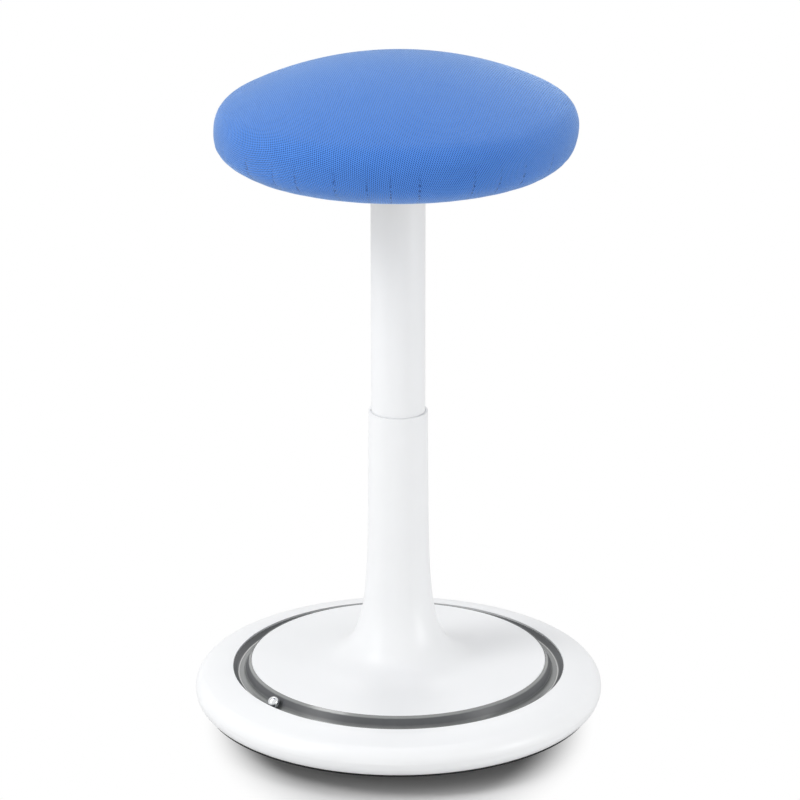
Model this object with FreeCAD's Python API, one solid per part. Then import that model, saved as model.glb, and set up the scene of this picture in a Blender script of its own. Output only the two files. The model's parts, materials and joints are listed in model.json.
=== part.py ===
"""Wobble stool: a round cushion on a telescopic column over a weighted, domed base.

The base rocks on a shallow rubber dome and carries a ring-shaped channel in which a steel
ball rolls. A gas spring lifts the cushion, and a ball bearing lets it swivel.

Frame: Z up, millimetres, origin on the floor at the column's axis, front towards -Y.
The stool is drawn with its gas spring at full length, the seat at its highest.
"""
import FreeCAD
import Part
import math
import os

V = FreeCAD.Vector
ORIGIN = V(0, 0, 0)
UP = V(0, 0, 1)

# Clearances
FIT = 0.08             # radial gap of a running fit
GLIDE_GAP = 0.3        # gap between parts that slide past each other
SEAT_GAP = 0.05        # gap over and under the bearing balls
EDGE_ROUND = 0.8       # rounding of the plastic edges that show

# Base ring
RING_W = 35.49         # width of the ring, from its inner edge to its widest line
RING_FOOT_H = 14.0     # widest line above the sole's edge
RING_SHOULDER_R = 15.5
RING_CROWN = 4.5       # rise of the top beyond the shoulder's radius
RING_FOOT_TURN = 68.0  # degrees that the lower edge turns in under the widest line
RING_T = 3.0
RING_LIP_T = 2.0       # the inner edge over the track's flange
RING_LIP_W = 6.3
RING_FOOT_W = 4.0
RING_SCREW_COUNT = 6

# Rubber sole
SOLE_RIM_Z = 21.0      # top of the sole's edge, where the ring starts
SOLE_PROUD = 1.3       # sole beyond the ring's foot
SOLE_EDGE_H = 1.2
SOLE_FLAT_R = 60.0     # flat middle that the stool stands on when upright
SOLE_T = 4.0
GROOVE_COUNT = 5       # grip grooves round the dome
GROOVE_FIRST_R = 82.0
GROOVE_PITCH = 18.0
GROOVE_W = 3.0
GROOVE_DEPTH = 1.2

# Rocker pan
PAN_T = 4.5
PAN_RIM_T = 4.0
PAN_EDGE_GAP = 0.6
RIB_COUNT = 12
RIB_T = 3.0
RIB_IN_R = 24.0
WALL_T = 3.0           # round walls of the pan
BOSS_R = 9.0           # bosses for the flange bolts
TRACK_BOSS_R = 4.0

# Steel weight and standing tube
BALLAST_LIFT = 6.0     # weight above the sole's edge, where it lies on the ribs
BALLAST_INSET = 18.9   # weight inside the ball's path
BALLAST_T = 8.0
BALLAST_HOLE_R = 30.0
FLANGE_R = 65.0
FLANGE_T = 6.0
STAND_WALL = 2.0
WELD_LEG = 4.0
BOLT_COUNT = 4
BOLT_PITCH_R = 48.0
BOLT_R = 4.0
BOLT_HEAD_R = 6.5
BOLT_HEAD_H = 6.0
BOLT_GRIP = 13.0       # thread held in the pan's boss

# Column cover
DISC_PROUD = 5.84      # disc above the ring's inner edge
DISC_T = 3.0
COLLAR_T = 2.13
COLLAR_SLOPE = 0.01    # widening below the collar, per length
COLLAR_HANDLE = 197.8  # upper handle of the flare's curve
FLARE_W = 66.17        # width of the flare beyond the collar
FLARE_HANDLE = 71.8    # lower handle of the flare's curve
COVER_SCREW_INSET = 20.0
COVER_SCREW_COUNT = 4

# Screws
SCREW_R = 2.0
SCREW_HEAD_R = 4.0
SCREW_HEAD_H = 2.6
SCREW_BITE = 12.0      # thread length held in a post
SINK_R = 3.2           # countersunk head
SINK_H = 1.2
POST_R = 4.5
POST_GAP = 2.6         # ring's posts behind its lip

# Ball and its track
BALL_D = 11.11
BALL_R = 148.9         # radius of the ball's path
BALL_LIFT = 0.3        # running gap over the floor
BALL_SIDE_GAP = 0.2
BALL_ANGLE = 219.4     # where the ball lies, degrees from +X
TRACK_DEPTH = 5.6      # floor below the ring's inner edge
TRACK_T = 2.2
TRACK_IN_LEAN = 24.8   # lean of the inner wall from upright, degrees
TRACK_OUT_LEAN = 47.0
TRACK_CORNER = 1.2     # size of the rounded corners beside the floor
LIP_W = 2.4            # sloping lip next to the disc
LIP_DROP = 2.2
LIP_TOP_W = 0.4
DISC_GAP = 0.2
FLANGE_GAP = 0.1       # track's flange under the ring's lip
EDGE_REVEAL = 0.8      # ring's edge behind the channel's outer wall
LEDGE_W = 14.4         # ledge under the disc
TRACK_SCREW_COUNT = 6

# Gas spring and guides
STROKE = 180.0
FOOT_GAP = 19.0        # space under the upper tube at the lowest seat height
GUIDE_LAP = 68.0       # upper tube inside the collar at the highest seat height
COLLAR_PROUD = 13.0    # collar above the standing tube
LOW_GAP = 37.0         # collar to tube top at the lowest seat height
BUSH_H = 50.0
BUSH_FLANGE_H = 3.0
SLEEVE_T = 0.82
SLEEVE_SLIT = 3.0
CYL_R = 14.0
CYL_WALL = 1.4
TAPER_FALL = 0.9       # loss of radius along the taper
TAPER_LEAD = 4.0       # taper below the hub
END_GUIDE_H = 14.0
PISTON_H = 12.0
SEAL_H = 4.0
SEAL_T = 2.0
SEAL_PROUD = 0.2
STROKE_SPARE = 22.0    # gas space left above the piston
ROD_R = 5.0
PIN_R = 4.0
PIN_DEPTH = 22.0
PIN_ROOM = 3.0         # free travel under the pin
PIN_PROUD = 6.0

# Thrust bearing and rod end
BEARING_BALL_R = 2.0
BEARING_R = 12.0
BEARING_COUNT = 12
WASHER_W = 10.0
WASHER_T = 2.0
CAGE_T = 1.6
CAGE_W = 7.0
CAGE_PLAY = 0.15
BUFFER_H = 7.5
BUFFER_R = 11.0
TAIL_R = 4.0           # thinner end of the rod
TAIL_GAP = 1.0
CLIP_T = 1.5
CLIP_R = 8.0
CLIP_GROOVE_DEPTH = 0.8
CLIP_WASHER_R = 12.0
ROD_END = 2.5          # rod below its clip

# Upper tube and seat plate
TUBE_OD = 50.0
TUBE_WALL = 1.8
TOP_BUSH_T = 2.2
TOP_BUSH_H = 22.0
HUB_H = 37.0
PLATE_T = 3.0
PLATE_GAP = 2.0        # plate inside the undercover's bosses
DISH_DEPTH = 22.5
DISH_SLOPE_W = 10.0
SEAT_BOLT_COUNT = 4
SEAT_BOLT_R = 3.0
SEAT_BOLT_INSET = 14.0
SEAT_BOLT_SIDE = 8.5   # room between bolt heads and dish
SEAT_BOLT_HEAD_R = 5.5
SEAT_BOLT_HEAD_H = 4.0
SEAT_BOLT_GRIP = 9.0
TEE_FLANGE_R = 9.5
TEE_FLANGE_T = 1.2
TEE_BARREL_R = 4.2
TEE_BARREL_H = 9.0

# Cushion
SEAT_R = 165.8         # widest radius
SHOULDER_R = 26.1      # upper rounding of the edge
LOWER_R = 33.8         # lower rounding of the edge
CROWN_H = 59.7         # crown above the widest line
COVER_T = 1.6
BOARD_INSET = 4.0      # board inside the start of the lower rounding
BOARD_T = 12.0
HEM_LAP = 22.0         # cover drawn in under the board
STAPLE_INSET = 16.0
STAPLE_COUNT = 24
STAPLE_W = 8.0
STAPLE_T = 0.8
STAPLE_LEG = 6.0

# Undercover below the cushion
UNDER_INSET = 8.0
UNDER_T = 2.5
UNDER_RIM_H = 3.4
UNDER_FOOT_W = 3.0     # width of its collar beside the tube
UNDER_GAP = 0.5        # undercover below the plate's dish
UNDER_BOSS_R = 6.0
UNDER_BOSS_GAP = 4.0   # bosses inside the drawn-in cover
UNDER_SCREW_COUNT = 4
UNDER_SCREW_GRIP = 9.0 # thread length held in the board
UNDER_SINK = 1.0       # screw heads sunk into the undercover

# Release lever
LEVER_ARM = 22.0       # pivot to the pin
LEVER_NOSE_R = 3.0
LEVER_BOSS_R = 5.0
LEVER_W = 8.0
LEVER_T = 4.0
LEVER_BEND_INSET = 2.0 # arm levels out inside the undercover's edge
LEVER_FALL = 11.0      # drop of the arm to there
SLOT_SIDE = 3.0        # room beside the lever in the slots
SLOT_LEAD = 4.0        # slots reach in over the dish's floor
SLOT_RIM_W = 9.0       # undercover's edge left beyond the slot
PIVOT_R = 2.0
EAR_T = 2.5
EAR_SIDE = 0.5         # room between lever and ear
EAR_R = 7.0
RIVET_HEAD_R = 3.2
RIVET_HEAD_T = 1.0
GRIP_PROUD = 0.2       # grip beyond the cushion's widest line
GRIP_L = 46.0
GRIP_NOSE = 14.0       # grip beyond the lever's end
GRIP_W = 34.0
GRIP_T = 8.0
GRIP_ROUND = 3.0

# Heights, worked out from the floor up
RIM_TOP = SOLE_RIM_Z + PAN_RIM_T
BALLAST_Z = SOLE_RIM_Z + BALLAST_LIFT
BALLAST_TOP = BALLAST_Z + BALLAST_T
FLANGE_TOP = BALLAST_TOP + FLANGE_T
BEARING_Z = FLANGE_TOP + WASHER_T + SEAT_GAP + BEARING_BALL_R
WASHER_UP_Z = BEARING_Z + BEARING_BALL_R + SEAT_GAP
BUFFER_Z = WASHER_UP_Z + WASHER_T
BUFFER_TOP = BUFFER_Z + BUFFER_H
CLIP_WASHER_Z = BALLAST_TOP - GLIDE_GAP - CLIP_T
CLIP_Z = CLIP_WASHER_Z - CLIP_T
RING_Z = SOLE_RIM_Z + RING_FOOT_H
RING_RISE = RING_SHOULDER_R + RING_CROWN
RING_EDGE_Z = RING_Z + RING_RISE
DISC_Z = RING_EDGE_Z + DISC_PROUD
LEDGE_Z = DISC_Z - DISC_T
LEDGE_FOOT = LEDGE_Z - TRACK_T
LIP_Z = DISC_Z - LIP_DROP
TRACK_FLANGE_Z = RING_EDGE_Z - RING_LIP_T - FLANGE_GAP
TRACK_FLOOR_Z = RING_EDGE_Z - TRACK_DEPTH
TRACK_FOOT = TRACK_FLOOR_Z - TRACK_T
BALL_Z = TRACK_FLOOR_Z + BALL_LIFT + BALL_D / 2
TUBE_FOOT = FLANGE_TOP + FOOT_GAP + STROKE
COLLAR_TOP = TUBE_FOOT + GUIDE_LAP
STAND_TOP = COLLAR_TOP - COLLAR_PROUD
TUBE_TOP = COLLAR_TOP + STROKE + LOW_GAP
HUB_FOOT = TUBE_TOP - HUB_H
PLATE_TOP = TUBE_TOP + PLATE_T
BOARD_Z = TUBE_TOP + DISH_DEPTH
BOARD_TOP = BOARD_Z + BOARD_T
FLANGE_FACE = BOARD_Z - PLATE_T
UNDERSIDE = BOARD_Z - COVER_T
SEAT_Z = UNDERSIDE + LOWER_R
SEAT_TOP = SEAT_Z + CROWN_H
CYL_FOOT = BUFFER_TOP + GLIDE_GAP + STROKE
PISTON_Z = CYL_FOOT + END_GUIDE_H + GLIDE_GAP
PISTON_TOP = PISTON_Z + PISTON_H
BORE_TOP = PISTON_TOP + STROKE + STROKE_SPARE
PIN_TOP = PLATE_TOP + PIN_PROUD
PIVOT_Z = PIN_TOP + GLIDE_GAP + LEVER_NOSE_R
LEVER_LOW_Z = PIVOT_Z - LEVER_FALL


def channel_in(z):
    """Radius of the channel's inner wall at height z: a line that clears the ball."""
    lean = math.radians(TRACK_IN_LEAN)
    reach = (BALL_D / 2 + BALL_SIDE_GAP) / math.cos(lean)
    return BALL_R + (BALL_Z - z) * math.tan(lean) - reach


def channel_out(z):
    """Radius of the channel's outer wall at height z: a line that clears the ball."""
    lean = math.radians(TRACK_OUT_LEAN)
    reach = (BALL_D / 2 + BALL_SIDE_GAP) / math.cos(lean)
    return BALL_R - (BALL_Z - z) * math.tan(lean) + reach


# Radii of tube, gas spring and bearing
TUBE_R = TUBE_OD / 2
TUBE_BORE = TUBE_R - TUBE_WALL
HUB_R = TUBE_BORE - TOP_BUSH_T
SLEEVE_BORE = TUBE_BORE - GLIDE_GAP - SLEEVE_T
STAND_R = SLEEVE_BORE - FIT
STAND_BORE = STAND_R - STAND_WALL
COLLAR_BORE = TUBE_R + GLIDE_GAP
COLLAR_R = COLLAR_BORE + COLLAR_T
CYL_BORE = CYL_R - CYL_WALL
CYL_TOP_R = CYL_R - TAPER_FALL
TAIL_HOLE_R = TAIL_R + TAIL_GAP
CLIP_GROOVE_R = TAIL_R - CLIP_GROOVE_DEPTH
WASHER_IN_R = BEARING_R - WASHER_W / 2
WASHER_OUT_R = BEARING_R + WASHER_W / 2

# Radii of the base, from the ball's path outwards and inwards
RING_EDGE_R = channel_out(TRACK_FLANGE_Z) + EDGE_REVEAL
RING_R = RING_EDGE_R + RING_W
RING_RUN = RING_W - RING_SHOULDER_R
RING_TOP_R = (RING_RUN**2 + RING_RISE**2 - RING_SHOULDER_R**2) / (2 * RING_CROWN)
RING_TOP_MID = RING_EDGE_Z - RING_TOP_R
RING_LOWER_R = RING_FOOT_H / math.sin(math.radians(RING_FOOT_TURN))
RING_LOW_MID = RING_R - RING_LOWER_R
RING_FOOT_R = RING_LOW_MID + RING_LOWER_R * math.cos(math.radians(RING_FOOT_TURN))
RING_POST_R = RING_EDGE_R + RING_LIP_W + POST_GAP + POST_R
PAN_R = RING_FOOT_R - RING_FOOT_W - PAN_EDGE_GAP
SOLE_R = RING_FOOT_R + SOLE_PROUD
BALLAST_R = BALL_R - BALLAST_INSET
RIB_WALL_R = BALLAST_R + GLIDE_GAP
TRACK_SCREW_R = RIB_WALL_R + WALL_T + TRACK_BOSS_R / 2
COVER_SCREW_R = BALLAST_R - COVER_SCREW_INSET
DISC_R = channel_in(LIP_Z) - LIP_W - DISC_GAP
LEDGE_IN_R = DISC_R - LEDGE_W
FLARE_R = COLLAR_R + FLARE_W

# Radii of the cushion and what it carries, from its widest line inwards
BOARD_R = SEAT_R - LOWER_R - BOARD_INSET
HEM_R = BOARD_R - HEM_LAP
STAPLE_R = BOARD_R - STAPLE_INSET
UNDER_R = BOARD_R - UNDER_INSET
UNDER_FOOT_R = TUBE_R + UNDER_FOOT_W
UNDER_SCREW_R = HEM_R - UNDER_BOSS_GAP - UNDER_BOSS_R
PLATE_R = UNDER_SCREW_R - UNDER_BOSS_R - PLATE_GAP
SEAT_BOLT_PITCH_R = PLATE_R - SEAT_BOLT_INSET
DISH_RIM_R = SEAT_BOLT_PITCH_R - SEAT_BOLT_HEAD_R - SEAT_BOLT_SIDE
DISH_FLOOR_R = DISH_RIM_R - DISH_SLOPE_W
SLOT_IN_R = DISH_FLOOR_R - SLOT_LEAD
SLOT_OUT_R = UNDER_R - SLOT_RIM_W
LEVER_OUT = UNDER_R - LEVER_BEND_INSET
GRIP_END = SEAT_R + GRIP_PROUD
GRIP_START = GRIP_END - GRIP_L
LEVER_END = GRIP_END - GRIP_NOSE
CROWN_R = ((SEAT_R - SHOULDER_R)**2 + CROWN_H**2 - SHOULDER_R**2) / (2 * (CROWN_H - SHOULDER_R))
CROWN_MID_Z = SEAT_TOP - CROWN_R

# Dome: a sphere through the edge of the flat middle and the sole's lower edge
SOLE_RISE = SOLE_RIM_Z - SOLE_EDGE_H
DOME_Z = (SOLE_R**2 - SOLE_FLAT_R**2 + SOLE_RISE**2) / (2 * SOLE_RISE)
DOME_R = math.hypot(DOME_Z, SOLE_FLAT_R)

# Undercover: a cone that clears the dish's floor
UNDER_RIM_FOOT = UNDERSIDE - UNDER_RIM_H
UNDER_DISH_Z = TUBE_TOP - UNDER_GAP - UNDER_T
UNDER_SLOPE = (UNDER_RIM_FOOT - UNDER_DISH_Z) / (UNDER_R - DISH_FLOOR_R)
UNDER_FOOT = UNDER_DISH_Z - UNDER_SLOPE * (DISH_FLOOR_R - UNDER_FOOT_R)


def dome_z(depth, r):
    """Height at radius r of the sphere that lies depth inside the sole's outer face."""
    return DOME_Z - math.sqrt((DOME_R - depth)**2 - r**2)


def dome_r(depth, z):
    """Radius at height z of the sphere that lies depth inside the sole's outer face."""
    return math.sqrt((DOME_R - depth)**2 - (DOME_Z - z)**2)


def taper_r(z):
    """Radius of the gas spring's taper at height z."""
    foot = HUB_FOOT - TAPER_LEAD
    return CYL_R - (CYL_R - CYL_TOP_R) * (z - foot) / (PLATE_TOP - foot)


def under_z(r):
    """Height of the undercover's lower face at radius r."""
    return UNDER_FOOT + UNDER_SLOPE * (r - UNDER_FOOT_R)


class Outline:
    """A closed outline in the plane of r, the distance from the axis, and z."""

    def __init__(self, r, z):
        self.start = V(r, 0, z)
        self.here = self.start
        self.edges = []

    def line(self, r, z):
        """Straight on to (r, z)."""
        there = V(r, 0, z)
        self.edges.append(Part.LineSegment(self.here, there).toShape())
        self.here = there
        return self

    def swing(self, mid_r, mid_z, r, z):
        """The shorter arc round (mid_r, mid_z) to (r, z)."""
        mid = V(mid_r, 0, mid_z)
        there = V(r, 0, z)
        half = ((self.here - mid).normalize() + (there - mid).normalize()).normalize()
        half = mid + half * (there - mid).Length
        self.edges.append(Part.Arc(self.here, half, there).toShape())
        self.here = there
        return self

    def curve(self, *poles):
        """A Bezier curve over the given poles, the last of which is its end."""
        bezier = Part.BezierCurve()
        bezier.setPoles([self.here] + [V(r, 0, z) for r, z in poles])
        self.edges.append(bezier.toShape())
        self.here = V(poles[-1][0], 0, poles[-1][1])
        return self

    def face(self):
        """The closed outline as a face."""
        if self.here.distanceToPoint(self.start) > 1e-6:
            self.line(self.start.x, self.start.z)
        return Part.Face(Part.Wire(self.edges))

    def turned(self):
        """The solid that the outline makes when it is turned round the axis."""
        return outward(self.face().revolve(ORIGIN, UP, 360))

    def plate(self, width):
        """A flat solid of that width, half of it on each side of the outline."""
        solid = outward(self.face().extrude(V(0, width, 0)))
        solid.translate(V(0, -width / 2, 0))
        return solid


def outward(solid):
    """The same solid with its faces pointing outwards."""
    if solid.Volume < 0:
        solid.reverse()
    return solid


def ring(inner, outer, low, high):
    """A plain ring round the axis."""
    return Outline(inner, low).line(outer, low).line(outer, high).line(inner, high).turned()


def rod(radius, low, high, x=0.0):
    """A round upright bar at distance x from the axis."""
    return Part.makeCylinder(radius, high - low, V(x, 0, low), UP)


def around(shape, count, first=0.0):
    """Copies of a shape, evenly spaced round the axis."""
    copies = []
    for i in range(count):
        copy = shape.copy()
        copy.rotate(ORIGIN, UP, first + 360.0 * i / count)
        copies.append(copy)
    return copies


def drill(body, hole, count, first=0.0):
    """Cuts evenly spaced holes in a body."""
    return body.cut(Part.makeCompound(around(hole, count, first)))


def bolt_first(count):
    """Angle of the first of a ring of fasteners: half a step, clear of the axes."""
    return 180.0 / count


def to_back(shape):
    """Turns a shape drawn along +X so that it points to the back, along +Y."""
    shape.rotate(ORIGIN, UP, 90)
    return shape


# Base

def rubber_sole():
    """Domed sole with a flat middle, a low edge and round grip grooves."""
    body = (Outline(0, 0).line(SOLE_FLAT_R, 0)
            .swing(0, DOME_Z, SOLE_R, SOLE_RISE)
            .line(SOLE_R, SOLE_RIM_Z)
            .line(dome_r(SOLE_T, SOLE_RIM_Z), SOLE_RIM_Z)
            .swing(0, DOME_Z, dome_r(SOLE_T, SOLE_T), SOLE_T)
            .line(0, SOLE_T).turned())
    for i in range(GROOVE_COUNT):
        mid = GROOVE_FIRST_R + i * GROOVE_PITCH
        body = body.cut(ring(mid - GROOVE_W / 2, mid + GROOVE_W / 2, 0, dome_z(0, mid) + GROOVE_DEPTH))
    return body


def rocker_pan():
    """Ribbed plastic dish that carries the weight, the track and the ring."""
    inner = SOLE_T + PAN_T
    body = (Outline(0, SOLE_T).line(dome_r(SOLE_T, SOLE_T), SOLE_T)
            .swing(0, DOME_Z, dome_r(SOLE_T, SOLE_RIM_Z), SOLE_RIM_Z)
            .line(PAN_R, SOLE_RIM_Z).line(PAN_R, RIM_TOP)
            .line(dome_r(inner, RIM_TOP), RIM_TOP)
            .swing(0, DOME_Z, dome_r(inner, inner), inner)
            .line(0, inner).turned())
    outer_wall = BALL_R - WALL_T / 2
    root = SOLE_T + PAN_T / 2
    rib = (Outline(RIB_IN_R, dome_z(root, RIB_IN_R))
           .swing(0, DOME_Z, outer_wall, dome_z(root, outer_wall))
           .line(outer_wall, BALLAST_Z).line(RIB_IN_R, BALLAST_Z).plate(RIB_T))
    added = around(rib, RIB_COUNT)
    added.append(ring(RIB_WALL_R, RIB_WALL_R + WALL_T, dome_z(root, RIB_WALL_R), LEDGE_FOOT))
    added.append(ring(outer_wall, outer_wall + WALL_T, dome_z(root, outer_wall), TRACK_FOOT))
    added += around(rod(BOSS_R, root, BALLAST_Z, BOLT_PITCH_R), BOLT_COUNT, bolt_first(BOLT_COUNT))
    post = rod(TRACK_BOSS_R, dome_z(root, TRACK_SCREW_R), LEDGE_FOOT, TRACK_SCREW_R)
    added += around(post, TRACK_SCREW_COUNT, bolt_first(TRACK_SCREW_COUNT))
    body = body.fuse(added).cut(ring(0, RIB_WALL_R, BALLAST_Z, BALLAST_TOP))
    bolt_hole = rod(BOLT_R, BALLAST_Z - BOLT_GRIP, BALLAST_Z, BOLT_PITCH_R)
    body = drill(body, bolt_hole, BOLT_COUNT, bolt_first(BOLT_COUNT))
    track_hole = rod(SCREW_R, LEDGE_FOOT - SCREW_BITE, LEDGE_FOOT, TRACK_SCREW_R)
    body = drill(body, track_hole, TRACK_SCREW_COUNT, bolt_first(TRACK_SCREW_COUNT))
    head = rod(SCREW_HEAD_R, dome_z(SOLE_T, RING_POST_R) - PAN_T, SOLE_RIM_Z + SCREW_HEAD_H, RING_POST_R)
    shank = rod(SCREW_R, SOLE_RIM_Z, RIM_TOP + PAN_T, RING_POST_R)
    return drill(body, head.fuse(shank), RING_SCREW_COUNT)


def ballast_plate():
    """Steel disc that keeps the stool upright."""
    body = ring(BALLAST_HOLE_R, BALLAST_R, BALLAST_Z, BALLAST_TOP)
    bolt_hole = rod(BOLT_R + GLIDE_GAP, BALLAST_Z, BALLAST_TOP, BOLT_PITCH_R)
    screw_hole = rod(SCREW_R + GLIDE_GAP, BALLAST_Z, BALLAST_TOP, COVER_SCREW_R)
    body = drill(body, bolt_hole, BOLT_COUNT, bolt_first(BOLT_COUNT))
    return drill(body, screw_hole, COVER_SCREW_COUNT, bolt_first(COVER_SCREW_COUNT))


def stand_tube():
    """Steel tube welded on a round flange."""
    body = (Outline(TAIL_HOLE_R, BALLAST_TOP).line(FLANGE_R, BALLAST_TOP)
            .line(FLANGE_R, FLANGE_TOP).line(STAND_R + WELD_LEG, FLANGE_TOP)
            .line(STAND_R, FLANGE_TOP + WELD_LEG).line(STAND_R, STAND_TOP)
            .line(STAND_BORE, STAND_TOP).line(STAND_BORE, FLANGE_TOP)
            .line(TAIL_HOLE_R, FLANGE_TOP).turned())
    hole = rod(BOLT_R + GLIDE_GAP, BALLAST_TOP, FLANGE_TOP, BOLT_PITCH_R)
    return drill(body, hole, BOLT_COUNT, bolt_first(BOLT_COUNT))


def flange_bolts():
    """Bolts through flange and weight into the pan."""
    bolt = rod(BOLT_R, BALLAST_Z - BOLT_GRIP, FLANGE_TOP, BOLT_PITCH_R)
    bolt = bolt.fuse(rod(BOLT_HEAD_R, FLANGE_TOP, FLANGE_TOP + BOLT_HEAD_H, BOLT_PITCH_R))
    return around(bolt, BOLT_COUNT, bolt_first(BOLT_COUNT))


def sunk_screw_hole():
    """Countersunk hole and screw form for the track, both of the same size."""
    head = Part.makeCone(SCREW_R, SINK_R, SINK_H, V(TRACK_SCREW_R, 0, LEDGE_Z - SINK_H), UP)
    return head.fuse(rod(SCREW_R, LEDGE_FOOT - SCREW_BITE, LEDGE_Z, TRACK_SCREW_R))


def ball_track():
    """Channel for the ball: ledge, sloping lip, two leaning walls, floor and outer flange."""
    floor = TRACK_FLOOR_Z
    under = TRACK_FOOT
    top_in = DISC_R + DISC_GAP
    flange_foot = TRACK_FLANGE_Z - TRACK_T
    flange_end = RING_EDGE_R + RING_LIP_W - GLIDE_GAP
    rise = floor + TRACK_CORNER
    body = (Outline(LEDGE_IN_R, LEDGE_FOOT).line(channel_in(LEDGE_FOOT) - TRACK_T, LEDGE_FOOT)
            .line(channel_in(under) - TRACK_T, under)
            .line(channel_out(under) + TRACK_T, under)
            .line(channel_out(flange_foot) + TRACK_T, flange_foot)
            .line(flange_end, flange_foot).line(flange_end, TRACK_FLANGE_Z)
            .line(channel_out(TRACK_FLANGE_Z), TRACK_FLANGE_Z)
            .line(channel_out(rise), rise)
            .curve((channel_out(floor), floor), (channel_out(floor) - TRACK_CORNER, floor))
            .line(channel_in(floor) + TRACK_CORNER, floor)
            .curve((channel_in(floor), floor), (channel_in(rise), rise))
            .line(channel_in(LIP_Z), LIP_Z)
            .line(top_in + LIP_TOP_W, DISC_Z).line(top_in, DISC_Z)
            .line(top_in, LEDGE_Z).line(LEDGE_IN_R, LEDGE_Z).turned())
    return drill(body, sunk_screw_hole(), TRACK_SCREW_COUNT, bolt_first(TRACK_SCREW_COUNT))


def track_screws():
    """Countersunk screws that hold the track, hidden under the disc."""
    return around(sunk_screw_hole(), TRACK_SCREW_COUNT, bolt_first(TRACK_SCREW_COUNT))


def track_ball():
    """Steel ball that rolls round the channel."""
    ball = Part.makeSphere(BALL_D / 2)
    ball.translate(V(BALL_R, 0, BALL_Z))
    ball.rotate(ORIGIN, UP, BALL_ANGLE)
    return ball


def ring_joint(depth):
    """Where the ring's top arc meets its shoulder, depth inside the outer face."""
    run = V(RING_RUN, 0, RING_Z - RING_TOP_MID).normalize()
    reach = RING_TOP_R - depth
    return RING_EDGE_R + run.x * reach, RING_TOP_MID + run.z * reach


def ring_top(depth, r):
    """Height at radius r of the ring's top arc, depth inside the outer face."""
    return RING_TOP_MID + math.sqrt((RING_TOP_R - depth)**2 - (r - RING_EDGE_R)**2)


def base_ring():
    """Hollow outer ring with a rounded top and an inner lip, on six screw posts."""
    shoulder_mid = RING_R - RING_SHOULDER_R
    turn = math.radians(RING_FOOT_TURN)
    low_in = RING_LOWER_R - RING_T
    lip_end = RING_EDGE_R + RING_LIP_W
    lip_z = RING_EDGE_Z - RING_LIP_T
    body = (Outline(RING_EDGE_R, RING_EDGE_Z)
            .swing(RING_EDGE_R, RING_TOP_MID, *ring_joint(0))
            .swing(shoulder_mid, RING_Z, RING_R, RING_Z)
            .swing(RING_LOW_MID, RING_Z, RING_FOOT_R, SOLE_RIM_Z)
            .line(RING_FOOT_R - RING_FOOT_W, SOLE_RIM_Z)
            .line(RING_LOW_MID + low_in * math.cos(turn), RING_Z - low_in * math.sin(turn))
            .swing(RING_LOW_MID, RING_Z, RING_R - RING_T, RING_Z)
            .swing(shoulder_mid, RING_Z, *ring_joint(RING_T))
            .swing(RING_EDGE_R, RING_TOP_MID, lip_end, ring_top(RING_T, lip_end))
            .line(lip_end, lip_z).line(RING_EDGE_R, lip_z).turned())
    top = ring_top(RING_T / 2, RING_POST_R)
    body = body.fuse(around(rod(POST_R, RIM_TOP, top, RING_POST_R), RING_SCREW_COUNT))
    return drill(body, rod(SCREW_R, RIM_TOP, RIM_TOP + SCREW_BITE, RING_POST_R), RING_SCREW_COUNT)


def ring_screws():
    """Screws up into the ring's posts, their heads sunk in the pan's rim."""
    screw = rod(SCREW_HEAD_R, SOLE_RIM_Z, SOLE_RIM_Z + SCREW_HEAD_H, RING_POST_R)
    screw = screw.fuse(rod(SCREW_R, SOLE_RIM_Z, RIM_TOP + SCREW_BITE, RING_POST_R))
    return around(screw, RING_SCREW_COUNT)


def column_cover():
    """Collar, flaring column and disc in one moulding, with screw posts under the disc."""
    low = DISC_Z - DISC_T
    handle_z = COLLAR_TOP - COLLAR_HANDLE
    handle_r = COLLAR_R + COLLAR_HANDLE * COLLAR_SLOPE
    bend_r = FLARE_R - FLARE_HANDLE
    body = (Outline(COLLAR_BORE, COLLAR_TOP).line(COLLAR_R - EDGE_ROUND, COLLAR_TOP)
            .swing(COLLAR_R - EDGE_ROUND, COLLAR_TOP - EDGE_ROUND, COLLAR_R, COLLAR_TOP - EDGE_ROUND)
            .curve((handle_r, handle_z), (bend_r, DISC_Z), (FLARE_R, DISC_Z))
            .line(DISC_R - EDGE_ROUND, DISC_Z)
            .swing(DISC_R - EDGE_ROUND, DISC_Z - EDGE_ROUND, DISC_R, DISC_Z - EDGE_ROUND)
            .line(DISC_R, low).line(FLARE_R, low)
            .curve((bend_r - COLLAR_T, low), (handle_r - COLLAR_T, handle_z - COLLAR_T),
                   (COLLAR_BORE, COLLAR_TOP))
            .turned())
    post = rod(POST_R, BALLAST_TOP, low + DISC_T / 2, COVER_SCREW_R)
    body = body.fuse(around(post, COVER_SCREW_COUNT, bolt_first(COVER_SCREW_COUNT)))
    hole = rod(SCREW_R, BALLAST_TOP, BALLAST_TOP + SCREW_BITE, COVER_SCREW_R)
    return drill(body, hole, COVER_SCREW_COUNT, bolt_first(COVER_SCREW_COUNT))


def cover_screws():
    """Screws from under the weight up into the cover's posts."""
    screw = rod(SCREW_HEAD_R, BALLAST_Z - SCREW_HEAD_H, BALLAST_Z, COVER_SCREW_R)
    screw = screw.fuse(rod(SCREW_R, BALLAST_Z, BALLAST_TOP + SCREW_BITE, COVER_SCREW_R))
    return around(screw, COVER_SCREW_COUNT, bolt_first(COVER_SCREW_COUNT))


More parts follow.
